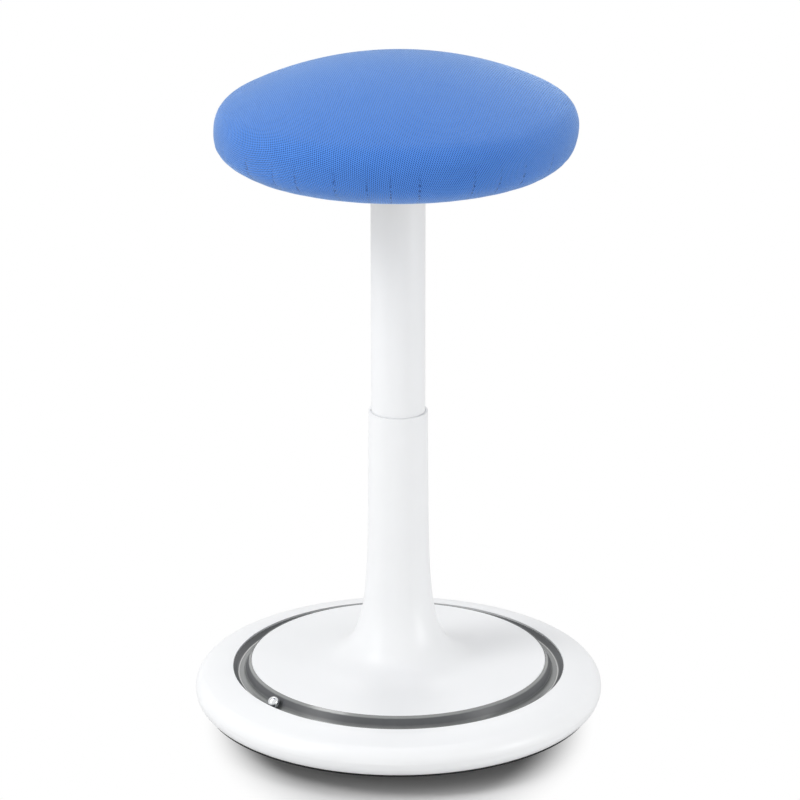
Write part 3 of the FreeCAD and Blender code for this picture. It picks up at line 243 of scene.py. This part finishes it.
def knit_fabric(name):
    """Blue polyester knit: ribs of small loops with a hole between each four, painted dark as
    shade.

    Height is the sum of a sine wave across the ribs and one that runs slanting along them, on the
    piece's own cut of cloth, and its low parts are the holes, painted dark as the shade in them.
    Dotted pulls run towards the hem, where the cloth is drawn in, painted darker as the shade
    along their creases.
    """
    made, tree = empty_material(name)
    cut = node(tree, "UVMap", {"uv_map": "cloth_cut"}).outputs[0]
    place = node(tree, "TexCoord").outputs["Object"]
    drift = node(tree, "TexNoise", None,
                 {"Vector": place, "Scale": 1 / KNIT_DRIFT_OVER, "Detail": 2.0}).outputs[1]
    bent = node(tree, "VectorMath", {"operation": "MULTIPLY_ADD"},
                {0: drift, 1: (KNIT_DRIFT, KNIT_DRIFT, 0.0), 2: cut}).outputs[0]
    turned = node(tree, "Mapping", None, {0: bent, 2: (0, 0, math.radians(KNIT_TURN)),
                                          3: (math.tau / KNIT_PITCH,) * 3}).outputs[0]
    axes = node(tree, "SeparateXYZ", None, {0: turned})
    wale = node(tree, "Math", {"operation": "SINE"}, {0: axes.outputs[0]}).outputs[0]
    lag = node(tree, "Math", {"operation": "MULTIPLY"},
               {0: axes.outputs[0], 1: STITCH_LAG}).outputs[0]
    slant = node(tree, "Math", {"operation": "MULTIPLY_ADD"},
                 {0: axes.outputs[1], 1: STITCH_RATE, 2: lag}).outputs[0]
    course = node(tree, "Math", {"operation": "SINE"}, {0: slant}).outputs[0]
    both = node(tree, "Math", {"operation": "MULTIPLY_ADD"},
                {0: course, 1: STITCH_SHARE, 2: wale}).outputs[0]
    loop = node(tree, "MapRange", None,
                {0: both, 1: HOLE_LOW, 2: HOLE_HIGH, 3: 0.0, 4: 1.0}).outputs[0]

    hem = node(tree, "UVMap", {"uv_map": "hem_pull"}).outputs[0]
    pull = node(tree, "SeparateXYZ", None, {0: hem})
    part = node(tree, "Math", {"operation": "PINGPONG"}, {0: pull.outputs[0], 1: 0.5}).outputs[0]
    line = node(tree, "MapRange", {"interpolation_type": "SMOOTHSTEP"},
                {0: part, 1: PULL_THIN, 2: PULL_WIDE, 3: 1.0, 4: 0.0}).outputs[0]
    beads = node(tree, "TexNoise", {"noise_dimensions": "2D"},
                 {"Vector": cut, "Scale": 1 / PULL_BEAD, "Detail": 1.0}).outputs[0]
    bead = node(tree, "MapRange", {"interpolation_type": "SMOOTHSTEP"},
                {0: beads, 1: 0.45, 2: 0.60, 3: 0.0, 4: 0.9}).outputs[0]
    reach = node(tree, "MapRange", {"interpolation_type": "SMOOTHSTEP"},
                 {0: pull.outputs[1], 1: PULL_FROM, 2: PULL_FULL, 3: 0.0, 4: 1.0}).outputs[0]
    dots = node(tree, "Math", {"operation": "MULTIPLY"}, {0: line, 1: bead}).outputs[0]
    pulls = node(tree, "Math", {"operation": "MULTIPLY"}, {0: dots, 1: reach}).outputs[0]

    cloud = node(tree, "TexNoise", None,
                 {"Vector": place, "Scale": 1 / (25 * MM), "Detail": 3.0}).outputs[0]
    yarn = node(tree, "Mix", {"data_type": "RGBA"},
                {0: cloud, 6: srgb("#4C8AE4"), 7: srgb("#5592EC")}).outputs[2]
    # The holes are painted dark, as the shade in them.
    knit_with_painted_hole_shade = node(tree, "Mix", {"data_type": "RGBA"},
                 {0: loop, 6: srgb("#0F3278"), 7: yarn}).outputs[2]
    # The pulls are painted darker, as the shade along their creases; the bump also sinks them.
    colour = node(tree, "Mix", {"data_type": "RGBA"},
                  {0: pulls, 6: knit_with_painted_hole_shade, 7: srgb("#1F4A94")}).outputs[2]
    sunk = node(tree, "Math", {"operation": "SUBTRACT"}, {0: loop, 1: pulls}).outputs[0]
    finish_surface(tree, colour, 0.88, sunk, KNIT_DEPTH,
                   {"Sheen Weight": 1.0, "Sheen Roughness": 0.36, "Sheen Tint": srgb("#C2DEFF"),
                    "Specular IOR Level": 0.3})
    return made


FINISHES = {
    # Moulded ABS, finely grained tool: even white, satin, with a faint flow mottle. The whites
    # stay rougher than 0.28, under which the renderer's noise filter marks the patches' edges.
    "white_plastic": mottled("moulded_abs_white", ("#F3F4F5", "#F6F7F8"), 45, (0.34, 0.40),
                             3.0, 0.003, {"IOR": 1.53}),
    # Powder coat on tube: white, the slight orange peel of the baked film.
    "white_paint": mottled("powder_coat_white", ("#F3F4F5", "#F6F7F8"), 60, (0.32, 0.38),
                           2.0, 0.004, {"IOR": 1.52}),
    # Moulded polyamide: dull dark grey; its lip and floor are painted lighter as their reflection,
    # with a painted highlight line beside the floor.
    "track_plastic": ball_track("moulded_polyamide_grey"),
    # Glass-filled polyamide: near black, dull, speckled by the fibres.
    "black_plastic": mottled("glass_filled_polyamide", ("#191A1C", "#232426"), 3, (0.48, 0.62),
                             0.7, 0.04, {"IOR": 1.53}),
    # Acetal, machined or moulded: milky off-white with a waxy sheen.
    "natural_plastic": mottled("natural_acetal", ("#E6E3D8", "#EFECE2"), 12, (0.32, 0.40),
                               0.9, 0.01, {"IOR": 1.48, "Subsurface Weight": 0.15,
                                           "Subsurface Scale": 0.002}),
    # Moulded rubber: black with a grey bloom, matt and finely grained.
    "sole_rubber": mottled("moulded_rubber", ("#131314", "#222224"), 18, (0.66, 0.82),
                           0.9, 0.06, {"IOR": 1.52, "Specular IOR Level": 0.35}),
    # Stoved paint on steel: black, half gloss, slightly wavy.
    "black_steel": mottled("stoved_black_steel", ("#16171A", "#1E1F22"), 20, (0.34, 0.46),
                           1.6, 0.015, {"IOR": 1.5}),
    # Zinc plate on fasteners: grey, with patches of blue and yellow.
    "zinc_steel": zinc_plate("zinc_plated_steel"),
    # Ground and polished bearing steel: a bright mirror, a little clouded.
    "bright_steel": mottled("polished_bearing_steel", ("#D9DBDD", "#E4E5E6"), 5, (0.06, 0.14),
                            0.5, 0.002, {"Metallic": 1.0}),
    # Birch plywood, sanded and bare: pale, streaked, layered at the edge.
    "plywood": plywood("birch_plywood"),
    # Cold-cured polyurethane foam: cream, open cells about 1 mm wide.
    "foam": mottled("moulded_foam", ("#E7DFC4", "#F0E9D2"), 15, (0.85, 0.95),
                    1.0, 0.3, {"Specular IOR Level": 0.2}),
    # Knitted polyester: matt blue, paler at a grazing angle, where its fibres catch the light.
    "blue_fabric": knit_fabric("knitted_polyester_blue"),
}


def cushion_outline(inset, steps):
    """Half outline of the pad from the crown's pole to the middle of its flat underside.

    Four runs of (radius, height): an arc about a point on the axis, the shoulder's arc that it
    touches, a quarter circle below the widest line, and a straight run in to the axis. The inset
    moves it inwards along its own normal. Also gives the length run so far at each point.
    """
    shoulder_c = SEAT_R - SHOULDER_R
    rise = SEAT_TOP - SEAT_Z
    # The crown's circle touches the shoulder's from outside it: both centres and the point of
    # contact lie on one line, so (R - s)^2 = c^2 + (R - rise)^2 gives R.
    crown_r = (shoulder_c ** 2 + rise ** 2 - SHOULDER_R ** 2) / (2 * (rise - SHOULDER_R))
    crown_z = SEAT_TOP - crown_r
    meet = math.atan2(SEAT_Z - crown_z, shoulder_c)
    up = np.linspace(math.pi / 2, meet, 2 * steps)
    over = np.linspace(meet, 0.0, steps)[1:]
    under = np.linspace(0.0, -math.pi / 2, steps)[1:]
    arcs = [(0.0, crown_z, crown_r - inset, up),
            (shoulder_c, SEAT_Z, SHOULDER_R - inset, over),
            (SEAT_R - LOWER_R, SEAT_Z, LOWER_R - inset, under)]
    radius = np.concatenate([c + r * np.cos(a) for c, _, r, a in arcs])
    height = np.concatenate([z + r * np.sin(a) for _, z, r, a in arcs])
    inward = np.linspace(radius[-1], 0.0, steps)[1:]
    radius = np.concatenate([radius, inward])
    height = np.concatenate([height, np.full(len(inward), height[-1])])
    run = np.concatenate([[0.0], np.cumsum(np.hypot(np.diff(radius), np.diff(height)))])
    return radius, height, run


def turned_mesh(name, radius, height, around):
    """A closed surface of revolution, with each outline point carried round the axis.

    A point at angle t lies at (radius cos t, radius sin t, height), and a pole closes each end.
    """
    turn = np.linspace(0.0, math.tau, around, endpoint=False)
    rows = len(radius) - 2
    ring = np.stack([np.outer(radius[1:-1], np.cos(turn)),
                     np.outer(radius[1:-1], np.sin(turn)),
                     np.repeat(height[1:-1, None], around, axis=1)], axis=-1).reshape(-1, 3)
    points = np.concatenate([ring, [[0, 0, height[0]], [0, 0, height[-1]]]])
    index = np.arange(rows * around).reshape(rows, around)
    after = np.roll(index, -1, axis=1)
    quads = np.stack([index[:-1], index[1:], after[1:], after[:-1]], axis=-1).reshape(-1, 4)
    top = np.stack([np.full(around, len(ring)), index[0], after[0]], axis=-1)
    foot = np.stack([np.full(around, len(ring) + 1), after[-1], index[-1]], axis=-1)
    mesh = bpy.data.meshes.new(name)
    mesh.from_pydata(points.tolist(), [], quads.tolist() + top.tolist() + foot.tolist())
    return mesh


def read_points(mesh):
    """The mesh's points as an array of rows."""
    flat = np.empty(len(mesh.vertices) * 3, dtype=np.float32)
    mesh.vertices.foreach_get("co", flat)
    return flat.reshape(-1, 3).astype(float)


def write_points(mesh, points):
    """Puts an array of rows back as the mesh's points."""
    mesh.vertices.foreach_set("co", np.ascontiguousarray(points, dtype=np.float32).ravel())
    mesh.update()


def applied(obj):
    """Works the object's modifiers into its mesh."""
    worked = obj.evaluated_get(bpy.context.evaluated_depsgraph_get())
    made = bpy.data.meshes.new_from_object(worked)
    obj.modifiers.clear()
    obj.data = made


PAD_START = 3.0 * MM         # how much smaller the pad starts
PAD_AROUND = 160             # points round it
PAD_VOXEL = 5.0 * MM         # size of its mesh's squares
PAD_CAP = 5.0 * MM           # how far a point may swell
PAD_FRAMES = 20              # length of the swelling
PIN_R = 0.134                # its underside is pinned within this radius
PIN_RISE = 4 * MM            # up to this height over the board's underside
PAD_HOLD = 0.85              # how far the cover is drawn back to the outline
PAD_TILT = 0.0083            # rise to the right, as the photographed cushion has
PAD_SHIFT = 1.4 * MM         # how far it lies off the axis, to the left
PAD_FULL = 1.5 * MM          # bulge of its lower side
PAD_SAG = 2.0 * MM           # and how much more of it there is on the left
PAD_LEAN_OVER = 20 * MM      # it leans and shifts fully from this height over the board
PULL_DEPTH = 0.5 * MM        # the valley at a needle pull
PULL_HALF = 0.16             # its half width, in steps from one pull to the next
PULL_OVER = 25 * MM          # it deepens over this height below the widest line


def swell(pad):
    """Blows the pad up as cloth with its underside pinned, then caps each point's move."""
    before = read_points(pad.data)
    held = pad.vertex_groups.new(name="underside")
    out = np.hypot(before[:, 0], before[:, 1])
    low = np.flatnonzero((before[:, 2] < BOARD_Z + PIN_RISE) & (out < PIN_R))
    held.add(low.tolist(), 1.0, "REPLACE")
    cloth = pad.modifiers.new("swelling", "CLOTH")
    cloth.settings.quality = 5
    cloth.settings.mass = 0.3
    cloth.settings.tension_stiffness = 15
    cloth.settings.compression_stiffness = 15
    cloth.settings.bending_stiffness = 0.5
    cloth.settings.use_pressure = True
    cloth.settings.uniform_pressure_force = 4
    cloth.settings.effector_weights.gravity = 0
    cloth.settings.vertex_group_mass = held.name
    cloth.collision_settings.use_self_collision = False
    cloth.point_cache.frame_start, cloth.point_cache.frame_end = 1, PAD_FRAMES
    for moment in range(1, PAD_FRAMES + 1):
        scene.frame_set(moment)
    applied(pad)
    pad.vertex_groups.clear()
    scene.frame_set(1)
    move = read_points(pad.data) - before
    far = np.linalg.norm(move, axis=1)
    move *= np.minimum(1.0, PAD_CAP / np.maximum(far, 1e-9))[:, None]
    write_points(pad.data, before + move)


def drawn_back(points):
    """Draws the swollen cover back towards the real outline by the share PAD_HOLD.

    A point's distance from the middle of the widest line is set against the outline's distance
    in the same direction.
    """
    radius, height, _ = cushion_outline(0.0, OUTLINE_STEPS)
    lift = np.arctan2(height - SEAT_Z, radius)
    reach = np.hypot(radius, height - SEAT_Z)
    middle = np.array([0.0, 0.0, SEAT_Z])
    arm = points - middle
    rise = np.arctan2(arm[:, 2], np.hypot(arm[:, 0], arm[:, 1]))
    real = np.interp(-rise, -lift, reach)
    share = 1 + PAD_HOLD * (real / np.linalg.norm(arm, axis=1) - 1)
    return middle + arm * share[:, None]


def pull_phase(turn):
    """How many needle pulls lie between the front and an angle.

    Two sine waves are added to the even count, so that the pulls stand unevenly apart.
    """
    even = turn / math.tau * PULL_LINES
    return even + 0.22 * np.sin(even * 1.9 + 0.7) + 0.18 * np.sin(5 * turn + 1.1)


def lay_cloth(mesh):
    """Gives the pad its two maps, corner by corner.

    cloth_cut unrolls the cover from the crown: the way from the pole along the outline, laid off
    in the corner's own direction. hem_pull counts the needle pulls round the hem against that way.
    """
    radius, height, run = cushion_outline(0.0, OUTLINE_STEPS)
    lift = np.arctan2(height - SEAT_Z, radius)
    points = read_points(mesh)
    rim = np.arctan2(points[:, 2] - SEAT_Z, np.hypot(points[:, 0], points[:, 1]))
    way = np.interp(-rim, -lift, run)
    turn = np.arctan2(points[:, 0], -points[:, 1])
    corners = np.empty(len(mesh.loops), dtype=np.int32)
    mesh.loops.foreach_get("vertex_index", corners)
    sides = np.empty(len(mesh.polygons), dtype=np.int32)
    mesh.polygons.foreach_get("loop_total", sides)
    face = np.repeat(np.arange(len(sides)), sides)
    angle = turn[corners]
    # A face across the back seam has its corners on one side of the seam in this map.
    lowest, highest = (reach(angle, np.concatenate([[0], np.cumsum(sides)[:-1]]))
                       for reach in (np.minimum.reduceat, np.maximum.reduceat))
    across = (highest - lowest > math.pi)[face]
    angle = np.where(across & (angle < 0), angle + math.tau, angle)
    cut = mesh.uv_layers.new(name="cloth_cut")
    laid = np.stack([way * np.sin(turn), -way * np.cos(turn)], axis=-1)[corners]
    cut.data.foreach_set("uv", laid.astype(np.float32).ravel())
    pulls = mesh.uv_layers.new(name="hem_pull")
    count = np.stack([pull_phase(angle), way[corners]], axis=-1)
    pulls.data.foreach_set("uv", count.astype(np.float32).ravel())


def tailored(points):
    """Draws the cover in at the needle pulls, leans it and fills its lower side out.

    A valley is a bell curve across its pull. The fullness is s^2 (1 - s), where s runs from 0 at
    the widest line to 1 at the underside, and 27/4 brings its peak to 1; it is most on the left.
    """
    out = np.hypot(points[:, 0], points[:, 1])
    turn = np.arctan2(points[:, 0], -points[:, 1])
    part = np.abs((pull_phase(turn) + 0.5) % 1.0 - 0.5)
    valley = (PULL_DEPTH * np.exp(-(part / PULL_HALF) ** 2)
              * np.clip((SEAT_Z - points[:, 2]) / PULL_OVER, 0, 1))
    points[:, :2] *= (1 - valley / np.maximum(out, 0.02))[:, None]
    lifted = np.clip((points[:, 2] - BOARD_Z) / PAD_LEAN_OVER, 0, 1)
    points[:, 2] += PAD_TILT * points[:, 0] * lifted
    points[:, 0] -= PAD_SHIFT * lifted
    deep = np.clip((SEAT_Z - points[:, 2]) / LOWER_R, 0, 1)
    leftward = np.clip(-points[:, 0] / SEAT_R, 0, 1)
    full = 27 / 4 * deep ** 2 * (1 - deep) * (PAD_FULL + PAD_SAG * leftward)
    points[:, :2] *= (1 + full / np.maximum(out, 0.05))[:, None]
    # The middle of the underside stands inside the board.
    points[:, 2] = np.where((out < HEM_R) & (points[:, 2] < SEAT_Z), BOARD_Z + 1 * MM, points[:, 2])
    return points


def make_cushion():
    """The stuffed cushion with its cover drawn in under the board."""
    radius, height, _ = cushion_outline(PAD_START, OUTLINE_STEPS)
    pad = bpy.data.objects.new("cushion", turned_mesh("cushion", radius, height, PAD_AROUND))
    scene.collection.objects.link(pad)
    remesh = pad.modifiers.new("voxels", "REMESH")
    remesh.mode = "VOXEL"
    remesh.voxel_size = PAD_VOXEL
    applied(pad)
    swell(pad)
    write_points(pad.data, tailored(drawn_back(read_points(pad.data))))
    lay_cloth(pad.data)
    pad.data.polygons.foreach_set("use_smooth", np.ones(len(pad.data.polygons), dtype=bool))
    smooth = pad.modifiers.new("smooth", "SUBSURF")
    smooth.levels = smooth.render_levels = 1
    pad.data.materials.clear()
    pad.data.materials.append(FINISHES["blue_fabric"])
    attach(pad, "seat")
    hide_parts("seat_cover", "seat_foam")


def dress_cad():
    """Gives each CAD node the finish of its slot in the record."""
    slots = {part["node"]: part["material_slot"] for part in frame["record"]["subparts"]}
    for name, slot in slots.items():
        mesh = bpy.data.objects[name].data
        mesh.materials.clear()
        mesh.materials.append(FINISHES[slot])


FLOOR_R = 6.0
FLOOR_SIDES = 96
FLOOR_Z = -0.0002            # just under the sole
SHADE_FROM, SHADE_TO = 0.195, 0.28   # its shadow fades between these distances from the axis
SHADE_SQUEEZE = 1.5          # and so much nearer at the sides


def make_floor():
    """A round pale floor that keeps the stool's shadow near it.

    Further out the camera sees it as white as the background, and all that reflects it or is lit
    by it meets the same pale matt floor throughout.
    """
    turn = np.linspace(0.0, math.tau, FLOOR_SIDES, endpoint=False)
    edge = np.stack([FLOOR_R * np.cos(turn), FLOOR_R * np.sin(turn),
                     np.full(FLOOR_SIDES, FLOOR_Z)], axis=-1)
    mesh = bpy.data.meshes.new("floor")
    mesh.from_pydata(edge.tolist(), [], [list(range(FLOOR_SIDES))])
    floor = bpy.data.objects.new("floor", mesh)
    scene.collection.objects.link(floor)
    made, tree = empty_material("pale_floor")
    place = node(tree, "TexCoord").outputs["Object"]
    oval = node(tree, "VectorMath", {"operation": "MULTIPLY"},
                {0: place, 1: (SHADE_SQUEEZE, 1, 0)}).outputs[0]
    reach = node(tree, "VectorMath", {"operation": "LENGTH"}, {0: oval}).outputs["Value"]
    away = node(tree, "MapRange", {"interpolation_type": "SMOOTHSTEP"},
                {0: reach, 1: SHADE_FROM, 2: SHADE_TO}).outputs[0]
    seen = node(tree, "LightPath").outputs["Is Camera Ray"]
    colour = node(tree, "Mix", {"data_type": "RGBA"},
                  {0: seen, 6: srgb("#E6E6E6"), 7: srgb("#E2E2E2")}).outputs[2]
    matt = node(tree, "BsdfDiffuse", None, {"Color": colour})
    white = node(tree, "Emission", None, {"Color": srgb("#FFFFFF"), "Strength": 1.0})
    share = node(tree, "Math", {"operation": "MULTIPLY"}, {0: away, 1: seen}).outputs[0]
    both = node(tree, "MixShader", None, {0: share, 1: matt.outputs[0], 2: white.outputs[0]})
    node(tree, "OutputMaterial", None, {"Surface": both.outputs[0]})
    mesh.materials.append(made)


def make_camera():
    """Looks down at the column's axis from the photograph's place."""
    down = math.radians(CAMERA_DOWN)
    lens = bpy.data.cameras.new("camera")
    lens.lens, lens.sensor_width = LENS, 36.0
    lens.shift_x, lens.shift_y = SHIFT_X, SHIFT_Y
    lens.clip_end = 50.0
    camera = bpy.data.objects.new("camera", lens)
    scene.collection.objects.link(camera)
    place = (0, -CAMERA_FAR * math.cos(down), AIM_Z + CAMERA_FAR * math.sin(down))
    roll = Matrix.Rotation(math.radians(CAMERA_ROLL), 4, "Z")
    tip = Matrix.Rotation(math.pi / 2 - down, 4, "X")
    camera.matrix_world = Matrix.Translation(place) @ (tip @ roll)
    scene.camera = camera


LAMPS = (
    # name, place, width, watts; all look at LAMP_AIM
    ("left_high", (-1.9, -0.9, 2.2), 1.2, 23.0),
    ("left_low", (-2.4, -1.4, 0.8), 1.2, 12.5),
    ("right_low", (2.5, -1.2, 0.35), 1.2, 23.0),
    ("top", (0.0, 0.0, 3.2), 2.0, 19.0),
    ("back", (0.0, 2.4, 2.2), 1.6, 7.3),
)
LAMP_AIM = (0, 0, 0.3)       # the column's middle
WORLD_LEVEL = 0.59           # light from all round


def light_scene():
    """Soft lamps round the stool, and a plain world that is white to camera, gloss and glass."""
    for name, place, width, watts in LAMPS:
        lamp = bpy.data.lights.new(name, "AREA")
        lamp.shape, lamp.size, lamp.energy = "DISK", width, watts
        held = bpy.data.objects.new(name, lamp)
        scene.collection.objects.link(held)
        held.location = place
        ray = Vector(LAMP_AIM) - Vector(place)
        held.rotation_euler = ray.to_track_quat("-Z", "Y").to_euler()
    world = bpy.data.worlds.new("studio")
    scene.world = world
    world.use_nodes = True
    tree = world.node_tree
    tree.nodes.clear()
    rays = node(tree, "LightPath")
    through = node(tree, "Math", {"operation": "MAXIMUM"},
                   {0: rays.outputs["Is Camera Ray"],
                    1: rays.outputs["Is Transmission Ray"]}).outputs[0]
    seen = node(tree, "Math", {"operation": "MAXIMUM"},
                {0: through, 1: rays.outputs["Is Glossy Ray"]}).outputs[0]
    level = node(tree, "MapRange", None, {0: seen, 3: WORLD_LEVEL, 4: 1.0}).outputs[0]
    glow = node(tree, "Background", None, {"Color": (1, 1, 1, 1), "Strength": level})
    node(tree, "OutputWorld", None, {"Surface": glow.outputs[0]})
    scene.view_settings.view_transform = "Standard"


make_camera()
light_scene()
make_floor()
dress_cad()
make_cushion()
